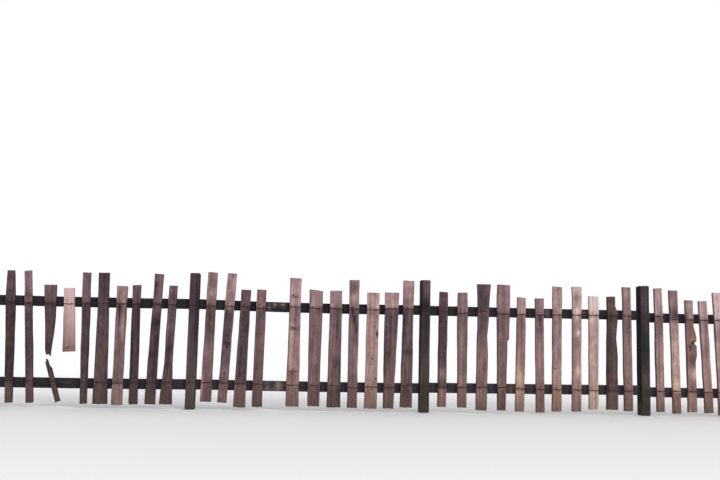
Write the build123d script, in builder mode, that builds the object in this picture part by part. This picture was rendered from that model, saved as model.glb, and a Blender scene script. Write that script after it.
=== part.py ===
"""Wooden paling fence: four bays of palings nailed to two rails between square posts.

Millimetres. +X runs along the fence to the right as seen from the front, the front faces -Y, and
+Z is up. The origin is the middle of the centre post's foot, on the ground.
"""

import os
from collections import namedtuple

from build123d import *

# Bays and posts
bay_length = 2400.0
post_width = 100.0
post_depth = 125.0
post_head_over_rail = 272.0
post_head_wear = 14.0
post_arris = 6.0
post_strays = [0.0, 0.0, 0.0, -15.0, 0.0]
post_head_strays = [-6.0, 3.0, -3.0, 2.0, 5.0]

# Rails, tenoned into the posts' sides. The rises are how far a rail's left and right ends stand over
# the common height, and the sag is how far its middle hangs under them, bay by bay.
rail_height = 105.0
rail_thick = 50.0
rail_arris = 5.0
upper_rail_top = 1110.0
lower_rail_top = 300.0
upper_rail_rises = [(2.0, 7.0), (8.0, 4.0), (0.0, 5.0), (-16.0, -12.0)]
lower_rail_rises = [(-4.0, 0.0), (2.0, 0.0), (8.0, 18.0), (0.0, 4.0)]
upper_rail_sags = [5.0, 10.0, 1.0, 3.0]
lower_rail_sags = [4.0, 3.0, 2.0, 4.0]
tenon_height = 72.0
tenon_thick = 32.0
tenon_length = 42.0
mortise_clearance = 1.5

# Palings, sawn to two lengths from one stock and nailed to the rails' fronts
paling_thick = 38.0
paling_arris = 5.0
half_round_arris = 22.0
tall_length = 1320.0
short_length = 1200.0
tall_over_rail = 250.0
short_over_rail = 130.0

# A paling's row: how far it stands right of its even place; its widths at the foot, the upper rail and
# the head; how far its head stands over the common height; its lean to the right in degrees; how far
# its sawn head falls to the right; and how far each wire lies under the top of its rail.
Paling = namedtuple("Paling", "stray foot_width rail_width head_width over lean fall upper_wire lower_wire")

# The palings of each bay from left to right, by the pairs and singles in which they follow each other
bay_palings = [
    {
        "short_paling_pair_1": [(0, 100, 100, 100, 0, -1.0, 2, 70, 42),
                                (10, 95, 92, 90, -5, -2.0, -3, 75, 44)],
        "tall_paling_pair_1": [(30, 72, 97, 66, 0, -2.5, 2, 80, 42),
                               (20, 76, 75, 69, 0, -4.0, -2, 78, 40)],
        "broken_paling": [(50, 85, 116, 122, -14, -2.5, 4, 72, 42)],
        "new_paling": [(50, 124, 108, 108, -44, -2.7, 1, 78, 40)],
        "tall_paling_pair_2": [(32, 71, 85, 78, 0, -1.5, 3, 69, 41),
                               (17, 144, 110, 108, 0, -1.0, -2, 63, 45)],
        "short_paling_pair_2": [(15, 108, 105, 110, -8, 0.0, 3, 62, 47),
                                (-25, 92, 83, 88, 2, -1.0, -4, 61, 40)],
        "tall_paling_1": [(0, 108, 90, 94, 5, 1.5, 2, 56, 34)],
        "short_paling_1": [(-33, 130, 86, 87, 6, 1.3, -2, 61, 30)],
    },
    {
        "tall_paling_pair_3": [(-10, 115, 101, 102, 38, 1.0, 3, 62, 26),
                               (-5, 95, 99, 95, 30, 2.5, -3, 62, 27)],
        "short_paling_pair_3": [(-31, 126, 101, 104, -13, 1.5, 2, 62, 32),
                                (-55, 106, 102, 99, -7, 0.5, 3, 74, 34)],
        "empty_place": [()],
        "tall_paling_2": [(-75, 140, 119, 121, 2, 0.0, 2, 49, 38)],
        "short_paling_pair_4": [(-43, 122, 139, 146, 8, 0.0, 14, 59, 38),
                                (-20, 145, 127, 127, 0, 0.0, -3, 59, 36)],
        "tall_paling_3": [(-15, 104, 106, 108, -3, 0.0, -2, 56, 56)],
        "short_paling_pair_5": [(0, 134, 128, 132, -8, 0.5, 2, 61, 43),
                                (10, 110, 146, 154, -4, 1.0, -3, 46, 50)],
        "tall_paling_4": [(1, 128, 110, 116, 8, 0.5, 3, 41, 14)],
    },
    {
        "short_paling_pair_6": [(-10, 91, 97, 93, 20, 0.5, 2, 61, 36),
                                (-4, 94, 114, 102, 16, 0.0, -2, 75, 34)],
        "tall_paling_pair_4": [(18, 117, 122, 146, -9, 1.0, -3, 45, 30),
                               (34, 105, 141, 138, -7, 0.4, 2, 70, 26)],
        "short_paling_pair_7": [(28, 97, 94, 91, -16, 1.0, 3, 71, 40),
                                (25, 92, 90, 96, -23, -0.5, -2, 71, 40)],
        "tall_paling_pair_5": [(20, 99, 100, 104, -10, 0.5, 4, 66, 38),
                               (35, 99, 98, 107, -8, 0.5, -3, 61, 40)],
        "short_paling_pair_8": [(20, 99, 107, 107, 16, 0.5, 2, 62, 42),
                                (24, 124, 114, 112, 16, 0.5, -4, 62, 43)],
        "tall_paling_5": [(-13, 95, 93, 91, 4, -0.5, 2, 57, 43)],
    },
    {
        "tall_paling_pair_6": [(-15, 85, 91, 88, 0, -0.5, -3, 54, 38),
                               (-15, 90, 91, 96, -16, -1.0, 2, 81, 34)],
        "short_paling_pair_9": [(0, 116, 116, 116, 2, -0.8, 3, 83, 38),
                                (-25, 90, 93, 92, -5, -2.5, -2, 83, 44)],
        "tall_paling_pair_7": [(-30, 97, 92, 99, -28, -2.0, 2, 79, 44),
                               (-15, 98, 96, 100, -12, -1.0, -2, 74, 40)],
        "short_paling_pair_10": [(-25, 105, 100, 98, 4, -1.0, 3, 70, 38),
                                 (-10, 90, 96, 95, -6, 0.5, -2, 66, 42)],
        "tall_paling_pair_8": [(-15, 100, 98, 96, 6, 0.0, 2, 62, 40),
                               (-25, 110, 106, 104, -4, 0.5, -3, 68, 36)],
        "short_paling_pair_11": [(-15, 96, 101, 100, 8, 0.5, -2, 64, 40),
                                 (-5, 102, 97, 94, -4, -0.5, 3, 60, 44)],
        "tall_paling_6": [(-15, 98, 96, 95, 2, 0.0, 2, 66, 40)],
    },
]

# A paling that flares to its foot keeps its upper width down to this height
flare_height = 460.0

# Slivers and a knot lost from the right edges of three palings: how deep, and between which heights
foot_sliver_depth = 18.0
foot_sliver_top = 770.0
foot_sliver_step = 8.0
head_sliver_depth = 26.0
head_sliver_foot = 1085.0
head_sliver_step = 70.0
knot_depth = 30.0
knot_height = 776.0
knot_length = 46.0

# Hollows that run along the right edges of two palings, and the wane that the third has along its own,
# where the sapwood left the board narrower at the head and the foot
hollow_height = 800.0
hollow_depth = 15.0
hollow_reach = 180.0
head_wane_depth = 31.0
head_wane_foot = 845.0
head_wane_step = 120.0
foot_wane_depth = 18.0
foot_wane_top = 650.0
foot_wane_step = 75.0

# The broken paling: where the split leaves its right edge, how wide it is at the split's foot, its two
# torn ends, and the stub that has swung round on the lower rail
split_top = 880.0
split_foot = 563.0
split_width = 56.0
break_height = 500.0
break_depth = 45.0
stub_head = 500.0
stub_shoulder = 415.0
stub_foot = 45.0
stub_width = 50.0
stub_lean = -17.0
stub_stray = 72.0

# The new paling ends over the lower rail
new_paling_foot = 553.0

# Line wires, stapled across the fronts, and how far they lie under the rails' tops at each post
wire_radius = 2.5
wire_lift = 0.3
wire_end_margin = 18.0
upper_wire_at_posts = [68.0, 56.0, 48.0, 53.0, 64.0]
lower_wire_at_posts = [42.0, 28.0, 28.0, 42.0, 40.0]

# Faces and places that follow
front_face = -post_depth / 2
rail_front = front_face + paling_thick
rail_middle = rail_front + rail_thick / 2
upper_pivot = upper_rail_top - rail_height / 2
lower_pivot = lower_rail_top - rail_height / 2
wire_line = front_face - wire_lift - wire_radius
post_places = [(k - 2) * bay_length + stray for k, stray in enumerate(post_strays)]

os.makedirs("parts", exist_ok=True)


def place_palings():
    """Every paling as (node, number in the node, place along the fence, row), set by its pitch and stray."""
    placed = []
    for post_place, groups in zip(post_places, bay_palings):
        rows = [(node, k, row) for node, group in groups.items() for k, row in enumerate(group)]
        pitch = bay_length / (len(rows) + 1)
        for place, (node, k, row) in enumerate(rows, start=1):
            if row:
                paling = Paling(*row)
                placed.append((node, k, post_place + place * pitch + paling.stray, paling))
    return placed


def between(height, points):
    """The value at a height on the straight lines through (height, value) points, level beyond them."""
    for (low, low_value), (high, high_value) in zip(points, points[1:]):
        if low <= height <= high:
            return low_value + (high_value - low_value) * (height - low) / (high - low)
    return points[0][1] if height < points[0][0] else points[-1][1]


def board(place, pivot, outline, lean, arris=paling_arris):
    """A sawn board with its back flat on the rails: a front outline leaned about its middle at pivot height.

    The outline's heights are over the ground. The long arrises of the front are worn round.
    """
    with BuildPart() as piece:
        with BuildSketch(Plane.XZ.offset(-rail_front)):
            with Locations((place, pivot)):
                Polygon(*[(x, height - pivot) for x, height in outline], rotation=-lean, align=None)
        extrude(amount=paling_thick)
        front = piece.faces().sort_by(Axis.Y)[0]
        fillet(front.edges().filter_by(lambda edge: edge.length > 2 * paling_thick), radius=arris)
    return piece.part


def whole_paling(place, paling, head, foot, losses=((0.0, 0.0),), arris=paling_arris, flare=None):
    """A paling from foot to head, with what its right edge has lost given as (height, depth) points.

    Where it flares to its foot, it keeps its width at the upper rail down to the flare's height.
    """
    widths = [(foot, paling.foot_width), (upper_pivot, paling.rail_width), (head, paling.head_width)]
    if flare:
        widths.insert(1, (flare, paling.rail_width))
    heights = {height for height, _ in widths} | {height for height, _ in losses if foot < height < head}
    heights = sorted(heights)
    right = [(between(height, widths) / 2 - between(height, losses), height) for height in heights]
    right[-1] = (right[-1][0], head - paling.fall)
    left = [(-width / 2, height) for height, width in reversed(widths)]
    return board(place, upper_pivot, right + left, paling.lean, arris)


# Posts, with a worn head and a blind mortise in each side that takes a rail
for k, (x, head_stray) in enumerate(zip(post_places, post_head_strays)):
    with BuildPart() as post:
        with BuildSketch(Plane.XY):
            with Locations((x, 0)):
                Rectangle(post_width, post_depth)
        extrude(amount=upper_rail_top + post_head_over_rail + head_stray)
        chamfer(post.faces().sort_by(Axis.Z)[-1].edges(), length=post_head_wear)
        chamfer(post.edges().filter_by(Axis.Z), length=post_arris)
        mortises = []
        if k > 0:
            mortises += [(-1, upper_rail_top + upper_rail_rises[k - 1][1])]
            mortises += [(-1, lower_rail_top + lower_rail_rises[k - 1][1])]
        if k < len(post_places) - 1:
            mortises += [(1, upper_rail_top + upper_rail_rises[k][0])]
            mortises += [(1, lower_rail_top + lower_rail_rises[k][0])]
        for side, rail_top in mortises:
            mouth = Plane(origin=(x + side * post_width / 2, rail_middle, rail_top - rail_height / 2),
                          x_dir=(0, 1, 0), z_dir=(side, 0, 0))
            with BuildSketch(mouth):
                Rectangle(tenon_thick + 2 * mortise_clearance, tenon_height + 2 * mortise_clearance)
            extrude(amount=-(tenon_length + mortise_clearance), mode=Mode.SUBTRACT)
    post.part.label = f"post_{k + 1}"
    export_step(post.part, f"parts/post_{k + 1}.step")

# Rails, sagged between the posts, shouldered against them and tenoned into them
for level, level_top, rises, sags in [
    ("upper", upper_rail_top, upper_rail_rises, upper_rail_sags),
    ("lower", lower_rail_top, lower_rail_rises, lower_rail_sags),
]:
    for k, ((left_rise, right_rise), sag) in enumerate(zip(rises, sags)):
        left = post_places[k] + post_width / 2
        right = post_places[k + 1] - post_width / 2
        left_top = level_top + left_rise
        right_top = level_top + right_rise
        middle = ((left + right) / 2, (left_top + right_top) / 2 - sag)
        with BuildPart() as rail:
            with BuildSketch(Plane.XZ.offset(-rail_front)):
                with BuildLine():
                    ThreePointArc((left, left_top), middle, (right, right_top))
                    Line((right, right_top), (right, right_top - rail_height))
                    ThreePointArc((right, right_top - rail_height), (middle[0], middle[1] - rail_height),
                                  (left, left_top - rail_height))
                    Line((left, left_top - rail_height), (left, left_top))
                make_face()
            extrude(amount=-rail_thick)
            long_edges = rail.edges().filter_by(lambda edge: edge.length > bay_length / 2)
            chamfer(long_edges, length=rail_arris)
            for side, end, top in [(-1, left, left_top), (1, right, right_top)]:
                shoulder = Plane(origin=(end, rail_middle, top - rail_height / 2),
                                 x_dir=(0, 1, 0), z_dir=(side, 0, 0))
                with BuildSketch(shoulder):
                    Rectangle(tenon_thick, tenon_height)
                extrude(amount=tenon_length)
        rail.part.label = f"{level}_rail_{k + 1}"
        export_step(rail.part, f"parts/{level}_rail_{k + 1}.step")

# Palings: sound ones, one with a half-round front, four with a worn right edge, a broken one and a new one
placed_palings = place_palings()
hollow = [
    (hollow_height - hollow_reach, 0.0),
    (hollow_height, hollow_depth),
    (hollow_height + hollow_reach, 0.0),
]
edge_losses = {
    ("tall_paling_pair_4", 0): hollow,
    ("tall_paling_pair_4", 1): [
        (foot_sliver_top - foot_sliver_step, foot_sliver_depth),
        (foot_sliver_top, 0.0),
    ],
    ("short_paling_pair_8", 1): [
        *hollow,
        (head_sliver_foot, 0.0),
        (head_sliver_foot + head_sliver_step, head_sliver_depth),
    ],
    ("short_paling_pair_9", 0): [
        (foot_wane_top - foot_wane_step, foot_wane_depth),
        (foot_wane_top, 0.0),
        (knot_height - knot_length / 2, 0.0),
        (knot_height, knot_depth),
        (knot_height + knot_length / 2, 0.0),
        (head_wane_foot, 0.0),
        (head_wane_foot + head_wane_step, head_wane_depth),
    ],
}
arrises = {("tall_paling_2", 0): half_round_arris}
flares = {("short_paling_1", 0): flare_height}

for node in dict.fromkeys(node for node, *_ in placed_palings):
    with BuildPart() as palings:
        for name, number, place, paling in placed_palings:
            if name != node:
                continue
            tall = name.startswith("tall")
            head = upper_rail_top + (tall_over_rail if tall else short_over_rail) + paling.over
            if name == "broken_paling":
                edge = paling.foot_width / 2
                split_edge = split_width - edge
                whole_edge = between(split_top, [(break_height, edge), (upper_pivot, paling.rail_width / 2)])
                add(board(place, upper_pivot, [
                    (-edge, break_height + 0.8 * break_depth),
                    (-0.6 * edge, break_height + 0.2 * break_depth),
                    (-0.2 * edge, break_height + 0.5 * break_depth),
                    (0.6 * split_edge, break_height),
                    (split_edge, split_foot),
                    (whole_edge, split_top),
                    (paling.rail_width / 2, upper_pivot),
                    (paling.head_width / 2, head - paling.fall),
                    (-paling.head_width / 2, head),
                    (-paling.rail_width / 2, upper_pivot),
                ], paling.lean))
                add(board(place + stub_stray, lower_pivot, [
                    (-stub_width / 2, stub_foot),
                    (stub_width / 2, stub_foot),
                    (stub_width / 2, stub_shoulder - 0.5 * break_depth),
                    (0.2 * stub_width, stub_shoulder),
                    (0.1 * stub_width, stub_head - 0.3 * break_depth),
                    (-0.2 * stub_width, stub_head),
                    (-stub_width / 2, stub_head - 0.6 * break_depth),
                ], stub_lean))
            elif name == "new_paling":
                add(whole_paling(place, paling, head, new_paling_foot))
            else:
                foot = head - (tall_length if tall else short_length)
                losses = edge_losses.get((name, number), [(0.0, 0.0)])
                arris = arrises.get((name, number), paling_arris)
                flare = flares.get((name, number))
                add(whole_paling(place, paling, head, foot, losses, arris, flare))
    palings.part.label = node
    export_step(palings.part, f"parts/{node}.step")

# Line wires: straight from staple to staple, and cut off short of the end posts' outer edges
for level, level_top, at_posts in [
    ("upper", upper_rail_top, upper_wire_at_posts),
    ("lower", lower_rail_top, lower_wire_at_posts),
]:
    staples = [(x, level_top - drop) for x, drop in zip(post_places, at_posts)]
    for name, _, place, paling in placed_palings:
        if level == "upper" or name != "new_paling":
            staples.append((place, level_top - getattr(paling, f"{level}_wire")))
    staples.sort()
    reach = post_width / 2 - wire_end_margin
    (left_x, left_z), (right_x, right_z) = staples[0], staples[-1]
    run = [(left_x - reach, left_z), *staples[1:-1], (right_x + reach, right_z)]
    start = Vector(run[0][0], wire_line, run[0][1])
    heading = Vector(run[1][0], wire_line, run[1][1]) - start
    with BuildPart() as wire:
        with BuildLine():
            Polyline(*[(x, wire_line, z) for x, z in run])
        with BuildSketch(Plane(origin=start, z_dir=heading)):
            Circle(wire_radius)
        sweep(transition=Transition.TRANSFORMED)
    wire.part.label = f"{level}_wire"
    export_step(wire.part, f"parts/{level}_wire.step")
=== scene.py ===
"""The looks of a weathered wooden paling fence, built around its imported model.

Metres. X runs along the fence to the right as seen from the front, the front faces -Y, and the ground
is at Z 0. Each timber is made again as a worn mesh in its model's place, and fixings are added.
"""

import math
from collections import namedtuple
from functools import partial

import bmesh
import bpy
import numpy as np
from mathutils import Matrix, Vector


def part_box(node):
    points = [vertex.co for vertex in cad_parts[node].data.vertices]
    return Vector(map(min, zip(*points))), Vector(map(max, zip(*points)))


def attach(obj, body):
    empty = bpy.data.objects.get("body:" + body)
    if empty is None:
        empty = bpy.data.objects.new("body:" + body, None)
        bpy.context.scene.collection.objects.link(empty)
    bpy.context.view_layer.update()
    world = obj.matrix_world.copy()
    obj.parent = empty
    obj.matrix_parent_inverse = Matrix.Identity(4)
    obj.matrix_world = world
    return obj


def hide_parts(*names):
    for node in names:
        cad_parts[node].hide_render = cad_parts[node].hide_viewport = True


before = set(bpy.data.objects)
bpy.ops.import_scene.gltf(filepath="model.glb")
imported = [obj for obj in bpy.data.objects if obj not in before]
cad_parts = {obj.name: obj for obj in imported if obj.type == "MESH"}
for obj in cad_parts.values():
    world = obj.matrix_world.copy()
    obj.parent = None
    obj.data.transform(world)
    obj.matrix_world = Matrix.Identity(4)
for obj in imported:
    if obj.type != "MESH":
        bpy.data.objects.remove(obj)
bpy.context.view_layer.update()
collection = bpy.context.scene.collection

# Posts
# Square sawn posts, let into the ground, with the rails tenoned into their sides. They are dark
# weathered softwood: heads worn round, long drying checks down every side, a green cast of algae.

# A drying check, or crack along the grain: the face that it opens in, its share across that face, the
# heights (or places along a rail) between which it runs, how wide it opens, how deep it goes, and
# whether it is a wedge that opens towards its head.
Check = namedtuple("Check", "face share foot head opening depth wedge", defaults=[False])
# Where the columns of a face lie: shares of the arrises and of the span between them, how far the
# worn arris leaves the face there, and which check they follow, on which of its sides.
Columns = namedtuple("Columns", "low share high inset check side")

arris_steps = [(0.293, 0.293), (0.617, 0.076), (1.0, 0.0)]
closed_check = 0.0006
check_margin = 0.002
flow_steps = (-0.15, -0.09, -0.03, 0.03, 0.09, 0.15)
# The lengths over which the grain wanders, at large and in small, and the small wander's share
long_wander, short_wander = 0.45, 0.13
short_wander_share = 0.35
# Softer wood worn back: how deep, and how large its patches are across, deep and along
reliefs = [(0.0011, (0.014, 0.014, 0.30)), (0.0012, (0.05, 0.05, 0.12))]
# Splinters at an end: how many columns and layers of the mesh hang together
splinter = (1.3, 2.5, 1.0)


def soft_noise(points, sizes, seed):
    """Smooth random values from 0 to 1 at the points, in patches of the given sizes."""
    cells = 32
    table = np.random.default_rng(seed).random((cells, cells, cells))
    scaled = points / np.asarray(sizes)
    whole = np.floor(scaled).astype(int)
    part = scaled - whole
    part = part * part * (3 - 2 * part)
    total = np.zeros(len(points))
    for corner in np.ndindex(2, 2, 2):
        share = np.where(corner, part, 1 - part).prod(axis=1)
        total += share * table[tuple(((whole + corner) % cells).T)]
    return total


def drift(along, size, seed):
    """A smooth random line from -1 to 1 along a timber."""
    line = np.zeros((len(along), 3))
    line[:, 2] = along
    return soft_noise(line, size, seed) * 2 - 1


def lay_columns(between, checks=(), width=0.1):
    """Columns over a face: three round each arris, some between, and three along each check.

    A column between gives way to a check that lies too near it.
    """
    middle = [(check.share, number, side) for number, check in checks for side in (-1, 0, 1)]
    spacing = 0.4 / (between + 1)
    for share in np.linspace(0, 1, between + 2)[1:-1]:
        reaches = [max(spacing, (0.55 * check.opening + check_margin) / width) for _, check in checks]
        if all(abs(share - check.share) > reach for reach, (_, check) in zip(reaches, checks)):
            middle.append((share, -1, 0))
    columns = [(step, 0, 0, inset, -1, 0) for step, inset in arris_steps]
    columns += [(1, share, 0, 0, number, side) for share, number, side in sorted(middle)]
    columns += [(1, 1, 1 - step, inset, -1, 0) for step, inset in reversed(arris_steps)]
    return Columns(*np.array(columns).T)


def spread(columns, at, start, end, start_arris, end_arris):
    """Where columns lie between two edges whose arrises have the given radii."""
    span = end - start - start_arris - end_arris
    return start + columns.low[at] * start_arris + columns.share[at] * span + columns.high[at] * end_arris


def box_lattice(shape):
    """The surface points of a lattice box, as column, layer and row numbers, and its outward quads."""
    inside = np.zeros(shape, bool)
    inside[1:-1, 1:-1, 1:-1] = True
    places = np.argwhere(~inside)
    index = np.full(shape, -1)
    index[tuple(places.T)] = np.arange(len(places))
    quads = []
    for axis in range(3):
        for end in (0, -1):
            side = index.take(end, axis=axis)
            quad = [side[:-1, :-1], side[1:, :-1], side[1:, 1:], side[:-1, 1:]]
            quad = np.stack(quad, -1).reshape(-1, 4)
            inward = (end == 0) == (axis != 1)
            quads.append(quad[:, ::-1] if inward else quad)
    return places.T, np.concatenate(quads)


def timber(low, high, near, far, foot, head, arrises, checks, seed, between, pitch, end_arris, rag, wander):
    """A worn timber as a closed mesh in its own axes: across, deep and along.

    low and high give its edges at a place along it, foot and head its ends at a share across it.
    arrises are the radii of its near and far corners, end_arris that of its ends' rims. between is how many
    columns lie across and deep, pitch how far apart its rows are, rag how ragged its foot and head are, and
    wander how far the grain strays sideways.
    """
    numbered = list(enumerate(checks))
    ends = np.array([foot(0.5), head(0.5)])
    width = float(np.mean(high(ends) - low(ends)))
    across = lay_columns(between[0], [(n, c) for n, c in numbered if c.face in ("near", "far")], width)
    deep = lay_columns(between[1], [(n, c) for n, c in numbered if c.face in ("low", "high")], far - near)
    rows = lay_columns(round(float(head(0.5) - foot(0.5)) / pitch))
    sizes = [len(across.low), len(deep.low), len(rows.low)]
    (i, j, k), quads = box_lattice(sizes)
    at_low, at_high = i == 0, i == sizes[0] - 1
    at_near, at_far = j == 0, j == sizes[1] - 1
    at_foot, at_head = k == 0, k == sizes[2] - 1
    u, v = across.share[i], deep.share[j]

    # Ends: ragged by the column, and worn round at their rims
    cell = np.column_stack([i, j, 0 * i]).astype(float)
    ragged = soft_noise(cell, splinter, seed)
    foot_end = foot(u) + rag[0] * ragged
    head_end = head(u) - rag[1] * soft_noise(cell, splinter, seed + 1)
    along = spread(rows, k, foot_end, head_end, end_arris, end_arris)
    rim = at_low | at_high | at_near | at_far
    along = np.where(at_foot & ~rim, foot_end, along)
    along = np.where(at_head & ~rim, head_end, along)

    # Section: arrises worn by a varying radius, and the columns' wander along the grain
    near_low, near_high, far_low, far_high = [
        arrises[corner // 2] * (0.65 + 0.7 * (drift(along, 0.17, seed + 2 + corner) + 1) / 2)
        for corner in range(4)
    ]
    start, end = low(along), high(along)
    flow = [sum(edge(along + step) for step in flow_steps) / len(flow_steps) for edge in (low, high)]
    low_arris = near_low * (1 - v) + far_low * v
    high_arris = near_high * (1 - v) + far_high * v
    x = spread(across, i, start, end, low_arris, high_arris)
    flowing = spread(across, i, flow[0], flow[1], low_arris, high_arris)
    room = 0.3 * (end - start)
    flowing = np.clip(flowing, start + low_arris + room * u, end - high_arris - room * (1 - u))
    x = np.where((u > 0) & (u < 1), flowing, x)
    x = np.where(at_low, start + deep.inset[j] * low_arris, x)
    x = np.where(at_high, end - deep.inset[j] * high_arris, x)
    near_arris = near_low * (1 - u) + near_high * u
    far_arris = far_low * (1 - u) + far_high * u
    y = spread(deep, j, near, far, near_arris, far_arris)
    y = np.where(at_near, near + across.inset[i] * near_arris, y)
    y = np.where(at_far, far - across.inset[i] * far_arris, y)
    grain_drift = drift(along, long_wander, seed + 6)
    grain_drift = wander * (grain_drift + short_wander_share * drift(along, short_wander, seed + 7))
    x += grain_drift * 4 * u * (1 - u)

    # Checks: a V along the grain, closing at its ends inside the timber
    crack = np.zeros(len(x))
    for number, check in numbered:
        crosswise = check.face in ("near", "far")
        columns, at = (across, i) if crosswise else (deep, j)
        mine = columns.check[at] == number
        side = columns.side[at]
        t = (along - check.foot) / (check.head - check.foot)
        ragged_opening = 0.75 + 0.25 * drift(along, 0.03, seed + 20 + number)
        gape = np.clip(3 * np.minimum(t, 1 - t), 0, 1) * ragged_opening
        if check.wedge:
            gape = np.clip(12 * (1 - t), 0, 1) * np.clip(t, 0, 1) ** 0.8 * ragged_opening
        lip = np.where(mine, side * (closed_check + gape * check.opening / 2), 0)
        centre = mine & (side == 0)
        cut = np.where(centre, gape * check.depth, 0)
        crack = np.maximum(crack, np.where(centre, np.minimum(1, 3 * gape), 0))
        if crosswise:
            x += lip
            share = (y - near) / (far - near)
            y += cut * (1 - share) if check.face == "near" else -cut * share
        else:
            y += lip
            share = (x - start) / (end - start)
            x += cut * (1 - share) if check.face == "low" else -cut * share

    # Relief: softer wood worn back between the hard streaks, always inwards
    points = np.column_stack([x - grain_drift, y, along])
    relief = [depth * soft_noise(points, size, seed + 8 + n) for n, (depth, size) in enumerate(reliefs)]
    relief = sum(relief)
    x += relief * at_low - relief * at_high
    y += relief * at_near - relief * at_far
    inset = rows.inset[k] * end_arris
    x += inset * (1 - 2 * u)
    y += inset * (1 - 2 * v)
    end_grain = ((at_foot | at_head) & ~rim).astype(float)
    grain = np.column_stack([x - (flow[0] + flow[1]) / 2 - grain_drift, y, along])
    return {
        "points": np.column_stack([x, y, along]),
        "quads": quads,
        "grain": grain + np.random.default_rng(seed).uniform(-20, 20, 3),
        "crack": crack,
        "end_grain": end_grain,
        "near": at_near.astype(float),
        "flank": ((at_low | at_high) & ~at_near & ~at_far).astype(float),
    }


# What a worn timber's mesh tells its finish: where a point lies in the grain, how deep in a crack and whether
# on end grain, how bleached it is with the painted shade on its sides, how tinted, yellowed and rusted it is,
# its heights over the two wires, and where it lies from a knot in knot radii.
finish_values = ("grain", "crack", "end_grain", "bleach", "tint", "warmth", "rust", "over_wires", "knot")
far_from_knots = 10.0
crease = math.radians(42)


def make_piece(name, parts, node, material, lying=False):
    """One mesh of worn timbers in a model node's place, with their finish values.

    A lying timber's length runs along the fence, so its axes change places and its quads turn round.
    """
    points = np.concatenate([part["points"] for part in parts])
    starts = np.cumsum([0] + [len(part["points"]) for part in parts])
    quads = np.concatenate([part["quads"] + start for part, start in zip(parts, starts)])
    if lying:
        points = points[:, ::-1]
        quads = quads[:, ::-1]
    mesh = bpy.data.meshes.new(name)
    mesh.from_pydata(points.tolist(), [], quads.tolist())
    for key in finish_values:
        values = np.concatenate([part[key] for part in parts])
        if values.ndim == 2:
            mesh.attributes.new(key, "FLOAT_VECTOR", "POINT").data.foreach_set("vector", values.ravel())
        else:
            mesh.attributes.new(key, "FLOAT", "POINT").data.foreach_set("value", values)
    mesh.shade_smooth()
    mesh.set_sharp_from_angle(angle=crease)
    mesh.materials.append(material)
    piece = bpy.data.objects.new(name, mesh)
    collection.objects.link(piece)
    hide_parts(node)
    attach(piece, "root")
    return piece


# How one timber has weathered: how far it is bleached (0 dark, 1 pale), a level that on the rails and on the
# boards on the left is partly painted shade, and how much paler a paling is over its upper wire and under its
# lower one. Then the patches that the photograph shows on its front: paler or darker, tinted, and yellower
# ones, of which a few paler ones are painted light and a few darker ones painted shade. Knots are (share
# across, height, radius), and wide splits down from a staple or the head are Checks without their face.
Marks = namedtuple("Marks", "bleach head foot pale tinted warm knots splits", defaults=[0.0, 0.0] + 5 * [()])


def patched(part, low, high, patches):
    """The sum of soft patches on a timber's near face.

    A patch is its share across, its height or place along, its half width, its half height or half
    length, and its strength.
    """
    x, _, z = part["points"].T
    total = np.zeros(len(x))
    for share, height, half_width, half_height, strength in patches:
        across = (x - low - share * (high - low)) / half_width
        total += strength * np.exp(-(across**2) - ((z - height) / half_height) ** 2)
    return total * part["near"]


def weather(part, marks, low, high, painted_side_shade=0.0):
    """Weathers a timber by its marks, low and high being its edges, and darkens its sides with painted shade
    of the given strength.
    """
    count = len(part["points"])
    part["bleach"] = marks.bleach + patched(part, low, high, marks.pale) - painted_side_shade * part["flank"]
    part["tint"] = patched(part, low, high, marks.tinted)
    part["warmth"] = patched(part, low, high, marks.warm)
    part["rust"] = np.zeros(count)
    part["over_wires"] = np.ones((count, 3))
    part["knot"] = np.tile([0.0, 0.0, far_from_knots], (count, 1))


def linear(code):
    """A linear colour from an sRGB hex code."""
    parts = [int(code[k : k + 2], 16) / 255 for k in (0, 2, 4)]
    return (*[c / 12.92 if c <= 0.04045 else ((c + 0.055) / 1.055) ** 2.4 for c in parts], 1)


def add(tree, kind, inputs=(), **settings):
    """Adds a node, sets it, and fills its inputs, in order or by name, with values or other nodes."""
    node = tree.nodes.new(kind)
    for key, value in settings.items():
        setattr(node, key, value)
    pairs = inputs.items() if isinstance(inputs, dict) else enumerate(inputs)
    for key, value in pairs:
        if isinstance(value, bpy.types.Node):
            value = value.outputs[0]
        if isinstance(value, bpy.types.NodeSocket):
            tree.links.new(value, node.inputs[key])
        else:
            node.inputs[key].default_value = value
    return node


def blank_finish(name):
    """A material with no nodes yet, and what adds them to it."""
    material = bpy.data.materials.new(name)
    material.use_nodes = True
    material.node_tree.nodes.clear()
    return material, partial(add, material.node_tree)


def lay_tones(ramp, tones):
    """Sets a colour ramp's places and tones, from the darkest to the palest."""
    points = ramp.color_ramp.elements
    while len(points) < len(tones):
        points.new(0.5)
    for point, (place, code) in zip(points, tones):
        point.position = place
        point.color = linear(code)


# The patterns of weathered softwood: how wide and how long their streaks are, how finely they break up,
# and how far they move a timber's tone. Real hairs and fibres are finer: they are drawn 1.5 and 5 mm
# wide, as coarse as they need to be to show.
Streaks = namedtuple("Streaks", "width length detail weight", defaults=[0.0])
streaks = {
    "hairs": Streaks(0.0015, 0.10, 2.0, 0.6),
    "fibres": Streaks(0.005, 0.33, 4.0, 1.3),
    "broad": Streaks(0.025, 0.9, 3.0, 1.2),
    "blotches": Streaks(0.09, 0.14, 3.0, 1.0),
    "mottle": Streaks(0.03, 0.055, 4.0, 0.8),
    "fissures": Streaks(0.004, 0.12, 2.0),
    "arches": Streaks(0.045, 0.7, 1.0),
}
ring_spacing = 0.006
ring_arches = 45.0
late_wood_weight = -0.16
knot_rings = 22.0
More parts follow.
